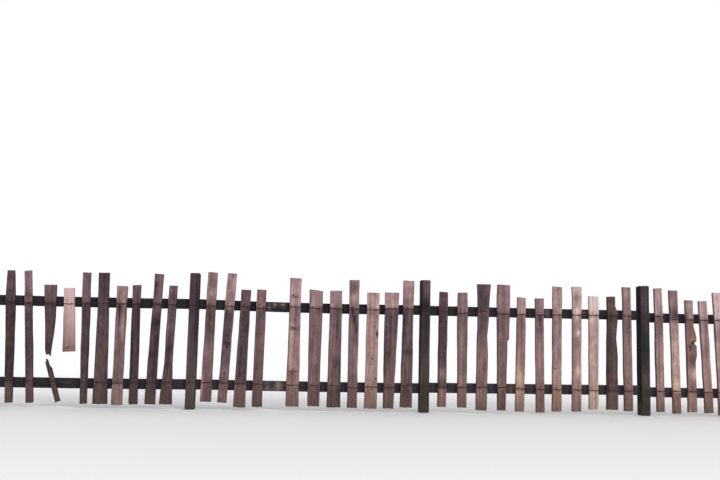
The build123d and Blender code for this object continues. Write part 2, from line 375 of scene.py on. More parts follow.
# The dark line along each wire, partly rust and partly painted shadow of the wire: how far it reaches and how
# dark it is
wire_rust_and_shadow_reach = 0.009
wire_rust_and_shadow_weight = 0.62
rust_run_length = 0.16
rust_run_weight = 0.35
most_rust = 0.9
yellow_light = "fff6d8"
violet_light = "fae8ff"


def timber_finish(name, tones, contrast, crack_tone, rust_and_wire_shadow_tone, tint_tone, damp_tone, damp_top, end_tone):
    """Weathered softwood: streaks along the grain, blotches, dark checks, stains from iron and damp, and a
    dark line along each wire that is partly painted shadow of the wire.

    tones run from the darkest to the palest streak, tint_tone is what tinted patches turn to, and the
    damp reaches up to damp_top. Dry wood is dull, so it has little specular.
    """
    material, put = blank_finish(name)
    own = {key: put("ShaderNodeAttribute", attribute_name=key).outputs for key in finish_values}
    grain = own["grain"]["Vector"]
    noise = {}
    for key, (width, length, detail, _) in streaks.items():
        drawn = put("ShaderNodeMapping", {"Vector": grain, "Scale": (1 / width, 1 / width, 1 / length)})
        inputs = {"Vector": drawn, "Scale": 1.0, "Detail": detail, "Roughness": 0.6}
        noise[key] = put("ShaderNodeTexNoise", inputs)
    fissures = put("ShaderNodeMapRange", [noise["fissures"], 0.60, 0.70])

    # Year rings: lines along the grain that close into long arches where the board was sawn across them
    arches = put("ShaderNodeMath", [noise["arches"], ring_arches], operation="MULTIPLY")
    across = put("ShaderNodeSeparateXYZ", [grain])
    phase = put("ShaderNodeMath", [across, 2 * math.pi / ring_spacing, arches], operation="MULTIPLY_ADD")
    late_wood = put("ShaderNodeMath", [phase], operation="SINE")
    late_wood = put("ShaderNodeMapRange", [late_wood, -0.1, 1.0])

    # How pale each point is: its bleaching and the painted shade on its sides, moved up and down by the
    # streaks
    level = own["bleach"]["Fac"]
    for key, pattern in streaks.items():
        if pattern.weight:
            swing = put("ShaderNodeMath", [noise[key], 0.5], operation="SUBTRACT")
            level = put("ShaderNodeMath", [swing, contrast * pattern.weight, level], operation="MULTIPLY_ADD")
    level = put("ShaderNodeMath", [late_wood, late_wood_weight * contrast, level], operation="MULTIPLY_ADD")
    colour = put("ShaderNodeValToRGB", [level])
    lay_tones(colour, tones)

    # Knots: a dark eye with rings round it
    reach = put("ShaderNodeVectorMath", [own["knot"]["Vector"]], operation="LENGTH").outputs["Value"]
    ragged = put("ShaderNodeMath", [noise["fibres"], 0.5], operation="SUBTRACT")
    reach = put("ShaderNodeMath", [ragged, 0.5, reach], operation="MULTIPLY_ADD")
    rings = put("ShaderNodeMath", [reach, knot_rings], operation="MULTIPLY")
    rings = put("ShaderNodeMath", [rings], operation="SINE")
    rings = put("ShaderNodeMapRange", [rings, -1.0, 1.0, 0.55, 0.95])
    eye = put("ShaderNodeMapRange", [reach, 1.15, 0.6])
    eye = put("ShaderNodeMath", [eye, rings], operation="MULTIPLY")

    # Stains: iron round the nails, a dark line along each wire that is partly rust and partly painted shadow
    # of the wire, and runs under it, then damp and tints
    rusty = put("ShaderNodeMapRange", [noise["fibres"], 0.3, 0.7, 0.5, 1.0])
    rust_and_wire_shadow = put("ShaderNodeMath", [own["rust"]["Fac"], rusty], operation="MULTIPLY")
    run_fibres = put("ShaderNodeMapRange", [noise["fibres"], 0.48, 0.66])
    for gap in put("ShaderNodeSeparateXYZ", [own["over_wires"]["Vector"]]).outputs[:2]:
        line = put("ShaderNodeMath", [gap], operation="ABSOLUTE")
        line = put("ShaderNodeMapRange", [line, wire_rust_and_shadow_reach, 0.003])
        rust_and_wire_shadow = put("ShaderNodeMath", [line, wire_rust_and_shadow_weight, rust_and_wire_shadow], operation="MULTIPLY_ADD")
        run = put("ShaderNodeMapRange", [gap, 0.0, -0.012])
        for mask in (put("ShaderNodeMapRange", [gap, -rust_run_length, -0.02]), run_fibres):
            run = put("ShaderNodeMath", [run, mask], operation="MULTIPLY")
        rust_and_wire_shadow = put("ShaderNodeMath", [run, rust_run_weight, rust_and_wire_shadow], operation="MULTIPLY_ADD")
    rust_and_wire_shadow = put("ShaderNodeMath", [rust_and_wire_shadow, most_rust], operation="MINIMUM")
    place = put("ShaderNodeTexCoord").outputs["Object"]
    height = put("ShaderNodeSeparateXYZ", [place]).outputs[2]
    damp = put("ShaderNodeMapRange", [height, damp_top, 0.03])
    blotched = put("ShaderNodeMapRange", [noise["blotches"], 0.25, 0.6, 0.0, 0.8])
    damp = put("ShaderNodeMath", [damp, blotched], operation="MULTIPLY")
    streaked = put("ShaderNodeMapRange", [noise["broad"], 0.3, 0.7, 0.5, 1.0])
    tinted = put("ShaderNodeMath", [own["tint"]["Fac"], streaked], operation="MULTIPLY")

    # The layers, from the wood's own light up to the open cracks
    layers = [
        (put("ShaderNodeMapRange", [own["warmth"]["Fac"], 0.0, 1.0]), yellow_light, "MULTIPLY"),
        (put("ShaderNodeMapRange", [own["warmth"]["Fac"], 0.0, -1.0]), violet_light, "MULTIPLY"),
        (eye, crack_tone, "MIX"),
        (tinted, tint_tone, "MIX"),
        (rust_and_wire_shadow, rust_and_wire_shadow_tone, "MIX"),
        (damp, damp_tone, "MIX"),
        (put("ShaderNodeMath", [own["end_grain"]["Fac"], 0.7], operation="MULTIPLY"), end_tone, "MIX"),
        (put("ShaderNodeMath", [fissures, 1.1 * contrast], operation="MULTIPLY"), crack_tone, "MIX"),
        (put("ShaderNodeMath", [own["crack"]["Fac"], 0.95], operation="MULTIPLY"), crack_tone, "MIX"),
    ]
    for share, code, blend in layers:
        inputs = {0: share, 6: colour, 7: linear(code)}
        colour = put("ShaderNodeMix", inputs, data_type="RGBA", blend_type=blend).outputs[2]

    raised = put("ShaderNodeMath", [noise["hairs"], 0.4, noise["fibres"]], operation="MULTIPLY_ADD")
    raised = put("ShaderNodeMath", [late_wood, 0.2, raised], operation="MULTIPLY_ADD")
    raised = put("ShaderNodeMath", [fissures, -0.6, raised], operation="MULTIPLY_ADD")
    bump = put("ShaderNodeBump", {"Strength": 0.8, "Distance": 0.0016, "Height": raised})
    inputs = {"Base Color": colour, "Roughness": 0.92, "Specular IOR Level": 0.2, "Normal": bump}
    put("ShaderNodeOutputMaterial", {"Surface": put("ShaderNodeBsdfPrincipled", inputs)})
    return material


post_finish = timber_finish(
    "weathered_post_softwood",
    tones=[(0.0, "110e10"), (0.25, "31292c"), (0.5, "493d3f"), (0.75, "675455"), (1.0, "8a7371")],
    contrast=0.32,
    crack_tone="120f0f",
    rust_and_wire_shadow_tone="3a2a24",
    tint_tone="2a332c",
    damp_tone="3b3a2e",
    damp_top=0.30,
    end_tone="5b4f49",
)
post_checks = {"near": (0.3, 0.62), "far": (0.45,), "low": (0.4,), "high": (0.55, 0.7)}
post_check_stray = 0.12
post_check_lengths = (0.35, 1.1)
post_check_openings = (0.002, 0.005)
post_check_depth = 0.02
# Painted shade: how much darker a post's sides are than its front
post_painted_side_shade = 0.5
post_head_wear = 0.013
post_yellow_top = 0.6
# Their tinted patches are green algae
post_marks = {
    "post_1": Marks(0.5),
    "post_2": Marks(
        0.52,
        pale=[
            (0.88, 1.05, 0.022, 0.35, -0.25), (0.25, 0.6, 0.04, 0.25, 0.15), (0.5, 0.15, 0.06, 0.2, 0.12),
        ],
    ),
    "post_3": Marks(
        0.42,
        pale=[
            (0.6, 1.3, 0.06, 0.12, 0.35), (0.05, 1.2, 0.012, 0.4, -0.3), (0.5, 1.11, 0.08, 0.06, -0.22),
            (0.7, 0.95, 0.04, 0.2, -0.12), (0.6, 0.5, 0.04, 0.15, 0.15), (0.15, 0.35, 0.012, 0.1, 0.3),
        ],
        tinted=[(0.7, 0.98, 0.05, 0.2, 0.5), (0.7, 0.25, 0.04, 0.08, 0.4)],
    ),
    "post_4": Marks(
        0.36,
        pale=[
            (0.5, 1.22, 0.08, 0.16, 0.3), (0.5, 0.76, 0.08, 0.2, -0.2), (0.6, 0.92, 0.02, 0.05, 0.2),
            (0.7, 0.76, 0.02, 0.04, 0.25), (0.5, 0.38, 0.08, 0.12, 0.2),
        ],
        tinted=[(0.5, 0.9, 0.06, 0.12, 0.3), (0.6, 0.68, 0.06, 0.18, 0.5)],
    ),
    "post_5": Marks(0.5),
}
post_names = list(post_marks)
for number, name in enumerate(post_names):
    (left, front, foot), (right, back, head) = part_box(name)
    random = np.random.default_rng(100 + number)
    checks = []
    for face, shares in post_checks.items():
        for share in shares:
            share += random.uniform(-post_check_stray, post_check_stray)
            length = random.uniform(*post_check_lengths)
            top = head + 0.4 * length if random.random() < 0.6 else random.uniform(0.6, 1.2)
            opening = random.uniform(*post_check_openings)
            checks.append(Check(face, share, top - 1.4 * length, top, opening, post_check_depth))
    part = timber(
        low=lambda along, edge=left: np.full(len(along), edge),
        high=lambda along, edge=right: np.full(len(along), edge),
        near=front,
        far=back,
        foot=lambda share, end=foot: 0 * share + end,
        head=lambda share, end=head: 0 * share + end,
        arrises=(0.006, 0.006),
        checks=checks,
        seed=200 + 40 * number,
        between=(7, 7),
        pitch=0.014,
        end_arris=post_head_wear,
        rag=(0.0, 0.006),
        wander=0.007,
    )
    weather(part, post_marks[name], left, right, post_painted_side_shade)

    # A post is yellower near the ground, and violet higher up
    part["warmth"] += np.clip((post_yellow_top - part["points"][:, 2]) / post_yellow_top, -0.7, 0.2)
    make_piece(f"{name}_timber", [part], name, post_finish)

# Rails
# Sawn rails on edge, two to a bay, tenoned into the posts. Softwood of a near black tone that is partly its
# own weathering and partly painted shade of the palings in front of it, sagged between the posts, with a
# paler place where one paling has long been missing.
rail_finish = timber_finish(
    "dark_rail_softwood_with_painted_shade",
    tones=[(0.0, "100e11"), (0.3, "28252a"), (0.6, "413b3e"), (0.8, "6e5f5c"), (1.0, "a08c86")],
    contrast=0.35,
    crack_tone="0d0b0c",
    rust_and_wire_shadow_tone="35251f",
    tint_tone="6a4a40",
    damp_tone="2c2d26",
    damp_top=0.12,
    end_tone="4a413c",
)
rail_let_in = 0.010
rail_check_faces = ("near", "near", "far", "far", "high")
rail_check_lengths = (0.3, 0.9)
rail_check_openings = (0.002, 0.004)
rail_check_depth = 0.012


def rail_edges(name, start, end):
    """A rail's places along the fence between its shoulders, with its lower and upper edge there."""
    points = np.array([vertex.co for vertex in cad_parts[name].data.vertices])
    along = np.round(points[:, 0], 4)
    places = [place for place in np.unique(along) if start - 0.001 <= place <= end + 0.001]
    low = [points[along == place, 2].min() for place in places]
    high = [points[along == place, 2].max() for place in places]
    return places, low, high


def rail_middle(line, x):
    """The height of a rail's middle at a place along the fence, from its places and edges."""
    places, low_edge, high_edge = line
    return (np.interp(x, places, low_edge) + np.interp(x, places, high_edge)) / 2


# Their shares run up a rail, and their patches lie in the empty place and in two gaps: share up the rail,
# place along the fence, half height, half length, strength
rail_marks = {
    "upper_rail_1": Marks(0.31),
    "upper_rail_2": Marks(
        0.3,
        pale=[
            (0.75, -1.49, 0.035, 0.035, 0.6), (0.75, -1.577, 0.035, 0.018, 0.7),
            (0.8, -1.54, 0.03, 0.02, 0.3), (0.5, -1.635, 0.06, 0.03, 0.55),
        ],
        tinted=[(0.5, -1.635, 0.06, 0.025, 0.3), (0.8, -1.543, 0.03, 0.012, 0.1)],
        warm=[(0.85, -1.53, 0.04, 0.06, 0.5)],
    ),
    # Its two paler patches are painted light, where the rail is lit in gaps between the palings.
    "upper_rail_3": Marks(0.35, pale=[(0.5, 1.316, 0.08, 0.05, 0.45), (0.5, 1.723, 0.08, 0.04, 0.25)]),
    "upper_rail_4": Marks(0.35),
    "lower_rail_1": Marks(0.4),
    "lower_rail_2": Marks(
        0.46,
        pale=[
            (0.55, -1.515, 0.055, 0.042, 0.5), (0.5, -1.63, 0.06, 0.045, 0.36),
            (0.55, -1.588, 0.02, 0.012, -0.25), (0.5, -1.45, 0.06, 0.02, 0.15),
        ],
        tinted=[(0.5, -1.515, 0.03, 0.02, 0.3), (0.55, -1.585, 0.02, 0.014, 0.5)],
        warm=[(0.8, -1.55, 0.03, 0.02, 0.5)],
    ),
    "lower_rail_3": Marks(
        0.52,
        pale=[(0.5, 0.937, 0.06, 0.05, 0.25)],
        tinted=[(0.5, 0.937, 0.06, 0.05, 0.6)],
    ),
    "lower_rail_4": Marks(0.52),
}
rail_lines = {"upper": [], "lower": []}
for level, lines in rail_lines.items():
    for bay, (left_post, right_post) in enumerate(zip(post_names, post_names[1:])):
        name = f"{level}_rail_{bay + 1}"
        start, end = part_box(left_post)[1].x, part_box(right_post)[0].x
        places, low_edge, high_edge = rail_edges(name, start, end)
        lines.append((places, low_edge, high_edge))
        seed = 600 + 50 * bay + (25 if level == "lower" else 0)
        random = np.random.default_rng(seed)
        checks = []
        for face in rail_check_faces:
            place = random.uniform(start, end - 0.4)
            length = random.uniform(*rail_check_lengths)
            share = random.uniform(0.2, 0.8)
            opening = random.uniform(*rail_check_openings)
            checks.append(Check(face, share, place, place + length, opening, rail_check_depth))
        part = timber(
            low=lambda along, x=places, z=low_edge: np.interp(along, x, z),
            high=lambda along, x=places, z=high_edge: np.interp(along, x, z),
            near=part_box(name)[0].y,
            far=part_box(name)[1].y,
            foot=lambda share, at=start - rail_let_in: 0 * share + at,
            head=lambda share, at=end + rail_let_in: 0 * share + at,
            arrises=(0.006, 0.006),
            checks=checks,
            seed=seed,
            between=(5, 3),
            pitch=0.016,
            end_arris=0.002,
            rag=(0.0, 0.0),
            wander=0.005,
        )
        low, high = [np.interp(part["points"][:, 2], places, edge) for edge in (low_edge, high_edge)]
        weather(part, rail_marks[name], low, high)
        make_piece(f"{name}_timber", [part], name, rail_finish, lying=True)

# Palings
# Rough sawn softwood boards of two lengths, nailed to the rails' fronts: mostly two tall and two short.
# Each has weathered in its own way, from near black to bleached silver pink, and the darkness of the boards
# on the left is partly painted shade.
paling_finish = timber_finish(
    "weathered_sawn_softwood",
    tones=[
        (0.0, "2b2224"), (0.22, "4d3d42"), (0.45, "755c5f"), (0.65, "987b79"), (0.82, "bba09b"),
        (1.0, "ddc7c3"),
    ],
    contrast=0.38,
    crack_tone="1a1413",
    rust_and_wire_shadow_tone="3b2823",
    tint_tone="8a5242",
    damp_tone="4c3c30",
    damp_top=0.28,
    end_tone="8d7a70",
)

# The boards of each node from left to right. The low levels of the boards on the left are partly painted
# shade.
paling_marks = {
    "short_paling_pair_1": [Marks(0.3, 0.0, 0.1, knots=[(0.55, 0.62, 0.012)]), Marks(0.4, 0.1)],
    "tall_paling_pair_1": [
        Marks(0.13, 0.13, 0.2, warm=[(0.5, 0.75, 0.06, 0.25, 0.6)]),
        Marks(
            0.26, 0.33, 0.02,
            pale=[(0.5, 1.11, 0.05, 0.05, -0.22), (0.5, 0.95, 0.05, 0.07, 0.07)],
            knots=[(0.4, 0.92, 0.01)],
        ),
    ],
    "broken_paling": [
        Marks(0.22, 0.2, pale=[(0.5, 0.6, 0.05, 0.06, -0.1)], tinted=[(0.5, 0.79, 0.04, 0.05, 0.15)]),
        Marks(0.28),
    ],
    "tall_paling_pair_2": [
        Marks(0.23, 0.2, 0.03),
        Marks(
            0.26, -0.07, -0.02,
            pale=[(0.5, 1.1, 0.06, 0.05, 0.1)],
            tinted=[(0.75, 0.58, 0.02, 0.14, 0.3)],
            knots=[(0.4, 0.63, 0.012)],
        ),
    ],
    "short_paling_pair_2": [
        Marks(
            0.48, 0.15, 0.2,
            pale=[
                (0.72, 0.88, 0.015, 0.15, 0.15), (0.4, 0.99, 0.05, 0.05, -0.18),
                (0.38, 1.02, 0.016, 0.018, -0.45), (0.5, 0.58, 0.05, 0.06, -0.1),
            ],
            tinted=[(0.38, 0.97, 0.016, 0.07, 0.4), (0.6, 0.62, 0.03, 0.06, 0.3)],
            warm=[(0.42, 0.93, 0.022, 0.12, 0.9)],
            splits=[(0.37, 0.72, 1.055, 0.026, 0.02, True), (0.62, 0.17, 0.25, 0.006, 0.01)],
        ),
        Marks(0.13, 0.2, 0.04),
    ],
    "tall_paling_1": [
        Marks(
            0.2, 0.22,
            pale=[
                (0.25, 1.25, 0.012, 0.04, -0.3), (0.15, 1.2, 0.012, 0.12, -0.2),
                (0.6, 1.0, 0.05, 0.06, 0.18), (0.5, 0.86, 0.05, 0.035, -0.2),
                (0.5, 0.54, 0.05, 0.035, -0.12),
            ],
            knots=[(0.5, 0.8, 0.012)],
        ),
    ],
    "short_paling_1": [
        Marks(
            0.27, 0.11,
            pale=[
                (0.5, 1.2, 0.05, 0.03, 0.1), (0.5, 0.87, 0.05, 0.1, 0.1), (0.5, 0.62, 0.05, 0.09, -0.12),
                (0.5, 0.45, 0.05, 0.05, -0.12),
            ],
        ),
    ],
    "tall_paling_pair_3": [
        Marks(
            0.42, 0.18,
            pale=[
                # The darker patch 0.94 high is painted shadow of a branch.
                (0.4, 1.19, 0.03, 0.05, 0.2), (0.45, 0.94, 0.05, 0.21, -0.22), (0.5, 0.55, 0.04, 0.15, 0.1),
                (0.08, 0.22, 0.012, 0.17, 0.35),
            ],
            tinted=[(0.5, 0.5, 0.04, 0.15, 0.15), (0.4, 0.27, 0.03, 0.04, 0.35)],
            warm=[(0.6, 0.95, 0.05, 0.15, 0.8)],
        ),
        Marks(
            0.32, 0.31, 0.15,
            pale=[
                (0.7, 1.28, 0.02, 0.08, 0.25), (0.5, 1.04, 0.05, 0.035, 0.32),
                (0.5, 0.9, 0.05, 0.05, -0.08), (0.6, 0.67, 0.035, 0.018, -0.3),
                (0.3, 0.64, 0.03, 0.03, 0.12), (0.5, 0.38, 0.05, 0.07, 0.2), (0.3, 0.16, 0.02, 0.04, 0.2),
            ],
            knots=[(0.55, 0.64, 0.016), (0.5, 0.37, 0.013)],
        ),
    ],
    "short_paling_pair_3": [
        Marks(
            0.28, 0.06, 0.15,
            pale=[(0.5, 0.47, 0.05, 0.035, -0.12)],
            tinted=[(0.3, 0.14, 0.05, 0.09, 0.3)],
        ),
        Marks(
            0.4, 0.08, -0.02,
            pale=[(0.5, 0.98, 0.06, 0.06, -0.08), (0.5, 0.46, 0.06, 0.1, -0.12)],
            tinted=[(0.5, 0.6, 0.05, 0.4, 0.12)],
        ),
    ],
    "tall_paling_2": [
        Marks(
            0.6, 0.12, -0.05,
            pale=[
                (0.5, 0.92, 0.06, 0.1, -0.07), (0.5, 0.33, 0.06, 0.08, -0.17),
                (0.45, 1.165, 0.045, 0.013, -0.32), (0.45, 0.835, 0.045, 0.013, -0.36),
                (0.5, 0.4, 0.05, 0.013, -0.3), (0.6, 0.97, 0.007, 0.2, -0.3), (0.25, 0.7, 0.02, 0.5, 0.1),
            ],
            tinted=[(0.4, 0.35, 0.03, 0.05, 0.3), (0.62, 0.95, 0.006, 0.2, 0.4)],
            knots=[(0.35, 0.85, 0.012), (0.3, 1.18, 0.01), (0.4, 0.38, 0.011)],
            splits=[(0.55, 0.1, 1.6, 0.004, 0.012)],
        ),
    ],
    "short_paling_pair_4": [
        Marks(0.45, 0.17, -0.04, pale=[(0.5, 1.1, 0.06, 0.08, 0.07)]),
        Marks(
            0.44, 0.19, -0.12,
            pale=[
                (0.55, 0.98, 0.02, 0.12, -0.12), (0.3, 0.6, 0.03, 0.15, 0.1), (0.5, 0.48, 0.05, 0.08, -0.1),
                (0.9, 0.4, 0.02, 0.3, -0.2),
            ],
            knots=[(0.6, 0.76, 0.01)],
            splits=[(0.62, 0.75, 1.12, 0.005, 0.016)],
        ),
    ],
    "tall_paling_3": [
        Marks(
            0.46, 0.18,
            pale=[
                (0.5, 1.29, 0.05, 0.06, -0.2), (0.5, 1.17, 0.03, 0.04, 0.15), (0.5, 0.42, 0.05, 0.05, 0.08),
                (0.35, 1.03, 0.014, 0.045, -0.42), (0.55, 0.94, 0.014, 0.045, -0.42),
                (0.75, 0.85, 0.016, 0.07, -0.36), (0.5, 0.74, 0.05, 0.035, -0.18),
            ],
        ),
    ],
    "short_paling_pair_5": [
        Marks(
            0.67, 0.09,
            pale=[(0.5, 1.03, 0.06, 0.06, -0.08), (0.93, 0.8, 0.016, 0.03, -0.5)],
            tinted=[(0.2, 0.17, 0.035, 0.09, 0.75), (0.85, 0.31, 0.02, 0.03, 0.6)],
            warm=[(0.5, 0.78, 0.05, 0.2, 0.5)],
            knots=[(0.92, 0.8, 0.018), (0.5, 0.55, 0.011), (0.85, 0.34, 0.012)],
        ),
        Marks(
            0.37, 0.34, 0.06,
            pale=[
                (0.93, 0.33, 0.006, 0.12, 0.4), (0.08, 0.7, 0.012, 0.35, -0.15),
                (0.4, 0.8, 0.01, 0.25, -0.15), (0.5, 1.06, 0.06, 0.05, 0.1),
            ],
            splits=[(0.45, 0.45, 1.1, 0.003, 0.01)],
        ),
    ],
    "tall_paling_4": [
        Marks(
            0.36, 0.3,
            pale=[
                (0.5, 1.33, 0.05, 0.03, 0.1), (0.5, 1.15, 0.05, 0.035, -0.2), (0.15, 0.9, 0.02, 0.2, -0.2),
                (0.6, 0.62, 0.05, 0.03, -0.15), (0.4, 0.2, 0.04, 0.06, -0.12),
            ],
        ),
    ],
    "short_paling_pair_6": [
        Marks(
            0.26, 0.04, 0.34,
            pale=[(0.5, 1.17, 0.05, 0.03, 0.1), (0.5, 0.4, 0.06, 0.07, 0.25)],
            tinted=[(0.5, 0.15, 0.05, 0.06, 0.2)],
        ),
        Marks(
            0.49, 0.06, 0.04,
            pale=[
                (0.5, 0.98, 0.06, 0.1, -0.06), (0.4, 0.6, 0.05, 0.1, 0.07), (0.25, 0.3, 0.03, 0.08, 0.1),
                (0.88, 0.7, 0.015, 0.3, -0.12),
            ],
            tinted=[(0.5, 0.14, 0.04, 0.05, 0.25), (0.85, 0.95, 0.008, 0.15, 0.4)],
        ),
    ],
    "tall_paling_pair_4": [
        Marks(0.48, -0.17, 0.12, pale=[(0.5, 0.95, 0.08, 0.14, -0.15), (0.35, 0.5, 0.03, 0.15, 0.1)]),
        Marks(
            0.42, 0.17, -0.03,
            pale=[(0.85, 0.9, 0.02, 0.1, 0.15)],
            tinted=[(0.5, 1.2, 0.008, 0.13, 0.6), (0.15, 1.3, 0.02, 0.04, 0.4)],
            splits=[(0.4, 1.0, 1.6, 0.004, 0.012)],
        ),
    ],
    "short_paling_pair_7": [
        Marks(
            0.56, 0.18, 0.18,
            pale=[(0.5, 0.38, 0.05, 0.13, 0.28)],
            tinted=[(0.5, 0.88, 0.015, 0.1, 0.4)],
            warm=[(0.5, 0.4, 0.06, 0.3, 0.5)],
            splits=[(0.52, 0.8, 1.045, 0.013, 0.018, True)],
        ),
        Marks(
            0.53, 0.05, -0.02,
            pale=[
                (0.45, 0.6, 0.015, 0.15, 0.25), (0.5, 1.0, 0.05, 0.04, -0.2),
                (0.5, 0.87, 0.05, 0.035, -0.16),
            ],
            tinted=[(0.5, 0.2, 0.05, 0.08, 0.25)],
            splits=[(0.5, 0.84, 1.045, 0.018, 0.02, True), (0.78, 1.12, 1.5, 0.004, 0.012)],
        ),
    ],
    "tall_paling_pair_5": [
        Marks(
            0.63, 0.12, 0.02,
            pale=[(0.5, 0.97, 0.06, 0.12, -0.07), (0.5, 0.44, 0.06, 0.08, 0.1)],
            tinted=[(0.5, 0.69, 0.04, 0.02, 0.3)],
            warm=[(0.5, 0.2, 0.06, 0.1, 0.7)],
            knots=[(0.3, 0.48, 0.01)],
        ),
        Marks(
            0.66, 0.2, 0.02,
            pale=[
                (0.5, 1.23, 0.05, 0.05, -0.2), (0.5, 1.13, 0.05, 0.03, -0.12),
                (0.45, 1.06, 0.022, 0.06, 0.35), (0.65, 0.86, 0.022, 0.03, 0.3),
                (0.5, 0.74, 0.06, 0.08, -0.1), (0.6, 0.46, 0.03, 0.06, 0.25),
            ],
            warm=[(0.45, 1.06, 0.03, 0.06, 0.8), (0.7, 0.6, 0.03, 0.2, 0.4)],
        ),
    ],
    "short_paling_pair_8": [
        Marks(0.79, 0.18, 0.12, pale=[(0.5, 1.01, 0.06, 0.035, 0.14)]),
        Marks(
            0.23, 0.11, 0.15,
            pale=[(0.5, 1.22, 0.05, 0.04, -0.1), (0.85, 0.9, 0.02, 0.12, 0.08)],
            tinted=[(0.5, 0.4, 0.06, 0.03, 0.25), (0.8, 0.9, 0.02, 0.12, 0.1)],
            warm=[(0.2, 0.75, 0.03, 0.3, 0.8), (0.5, 1.2, 0.05, 0.05, 0.8)],
        ),
    ],
    "tall_paling_5": [
        Marks(0.55, 0.04, 0.03, pale=[(0.5, 1.29, 0.06, 0.05, 0.12), (0.5, 0.94, 0.06, 0.08, -0.13)]),
    ],
    "tall_paling_pair_6": [
        Marks(0.6, 0.14, 0.02, pale=[(0.5, 0.95, 0.06, 0.11, -0.18), (0.5, 0.46, 0.06, 0.07, 0.1)]),
        Marks(
            0.78, -0.2, -0.16,
            pale=[
                (0.6, 0.35, 0.025, 0.05, 0.2), (0.5, 1.06, 0.06, 0.08, -0.38),
                (0.5, 0.9, 0.06, 0.04, -0.12),
            ],
            tinted=[(0.5, 0.19, 0.06, 0.04, 0.4)],
            warm=[(0.6, 0.35, 0.03, 0.08, 1.0)],
        ),
    ],
    "short_paling_pair_9": [
        Marks(
            0.5, 0.17, 0.24,
            pale=[
                (0.5, 1.18, 0.04, 0.03, 0.15), (0.15, 1.08, 0.015, 0.05, -0.25),
                (0.5, 0.82, 0.05, 0.03, 0.12), (0.35, 0.74, 0.03, 0.02, -0.3),
                (0.3, 0.67, 0.02, 0.03, 0.15), (0.7, 0.61, 0.03, 0.06, -0.15),
                (0.5, 0.59, 0.05, 0.04, -0.12), (0.6, 0.44, 0.06, 0.08, 0.36),
            ],
            tinted=[(0.7, 0.61, 0.03, 0.07, 0.35), (0.75, 0.93, 0.03, 0.06, 0.2)],
            warm=[(0.4, 0.95, 0.05, 0.12, 0.8), (0.4, 0.82, 0.06, 0.04, 1.0), (0.3, 0.68, 0.04, 0.04, 0.8)],
            knots=[(0.72, 0.782, 0.022), (0.3, 0.7, 0.008)],
        ),
        Marks(0.65, 0.17, -0.08),
    ],
    "tall_paling_pair_7": [Marks(0.72, 0.16), Marks(0.5, 0.1, knots=[(0.6, 0.7, 0.014)])],
    "short_paling_pair_10": [Marks(0.5, 0.0, 0.1), Marks(0.4, 0.1)],
    "tall_paling_pair_8": [Marks(0.6, 0.1, knots=[(0.4, 0.5, 0.012)]), Marks(0.45)],
    "short_paling_pair_11": [Marks(0.5, 0.1), Marks(0.35, 0.1)],
    "tall_paling_6": [Marks(0.55)],
}


def wire_route(name):
    """The places along the fence where a line wire bends, at its staples, and its heights there."""
    points = np.array([vertex.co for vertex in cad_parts[name].data.vertices])
    points = np.unique(np.round(points, 5), axis=0)
    least_run = 0.02
    groups = np.split(points, np.flatnonzero(np.diff(points[:, 0]) > least_run) + 1)
    return [np.array([group[:, axis].mean() for group in groups]) for axis in (0, 2)]


wires = {level: wire_route(f"{level}_wire") for level in ("upper", "lower")}


def back_outlines(node):
    """The outlines of a node's boards where they lie against the rails: loops of (x, z), left to right.

    The broken paling comes before its stub, whose outline has fewer points.
    """
    shape = bmesh.new()
    shape.from_mesh(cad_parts[node].data)
    bmesh.ops.remove_doubles(shape, verts=shape.verts, dist=1e-5)
    back = max(vertex.co.y for vertex in shape.verts)
    flat = {face for face in shape.faces if all(back - vertex.co.y < 1e-4 for vertex in face.verts)}
    rim = {edge for edge in shape.edges if len(flat.intersection(edge.link_faces)) == 1}
    loops = []
    while rim:
        edge = rim.pop()
        loop = [edge.verts[0], edge.verts[1]]
        while True:
            following = [e for e in loop[-1].link_edges if e in rim]
            if not following:
                break
            rim.remove(following[0])
            loop.append(following[0].other_vert(loop[-1]))
        loops.append(np.array([(vertex.co.x, vertex.co.z) for vertex in loop[:-1]]))
    shape.free()
    return sorted(loops, key=lambda loop: -len(loop) if node == "broken_paling" else loop[:, 0].mean())


def sides_of(loop):
    """A board outline's left and right edges as (z, x) and its foot and head as (x, z), all rising."""
    x, z = loop.T
    area = np.sum(x * np.roll(z, -1) - np.roll(x, -1) * z)
    if area < 0:
        x, z = x[::-1], z[::-1]
    end_depth = 0.06
    low, high = np.flatnonzero(z < z.min() + end_depth), np.flatnonzero(z > z.max() - end_depth)
    corners = [low[x[low].argmin()], low[x[low].argmax()], high[x[high].argmax()], high[x[high].argmin()]]
    chains = []
    for start, end in zip(corners, corners[1:] + corners[:1]):
        steps = (end - start) % len(x)
        chain = [(start + step) % len(x) for step in range(steps + 1)]
        chains.append((x[chain], z[chain]))
    (foot_x, foot_z), (right_x, right_z), (head_x, head_z), (left_x, left_z) = chains
    return (left_z[::-1], left_x[::-1]), (right_z, right_x), (foot_x, foot_z), (head_x[::-1], head_z[::-1])


# All palings are of one thickness, so one of them gives the planes of their fronts and backs
front_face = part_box("new_paling")[0].y
back_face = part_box("new_paling")[1].y
paling_arris = (0.005, 0.0025)
half_round_arris = (0.020, 0.0025)
edge_waver = 0.0022
# Painted shade: how much darker a paling's sides are than its front
paling_painted_side_shade = 0.2
# The cracks of a board, besides its splits: how far apart they stay as a share of its width, how far they
# run each way, how wide they open and how deep they go. Most boards have one in the back as well.
crack_spacing = 0.14
crack_lengths = (0.15, 0.6)
crack_openings = (0.0008, 0.0026)
crack_depths = (0.004, 0.011)
back_crack_opening, back_crack_depth = 0.003, 0.010
# Where a board's free head and foot start, over what length up or down they lean back, and how far they
# may. Between the rails it may bow back, about a middle.
free_ends = [(1.13, 0.24, 0.007), (0.18, -0.15, 0.005)]
bow_middle, bow_reach, bow = 0.65, 0.4, 0.003
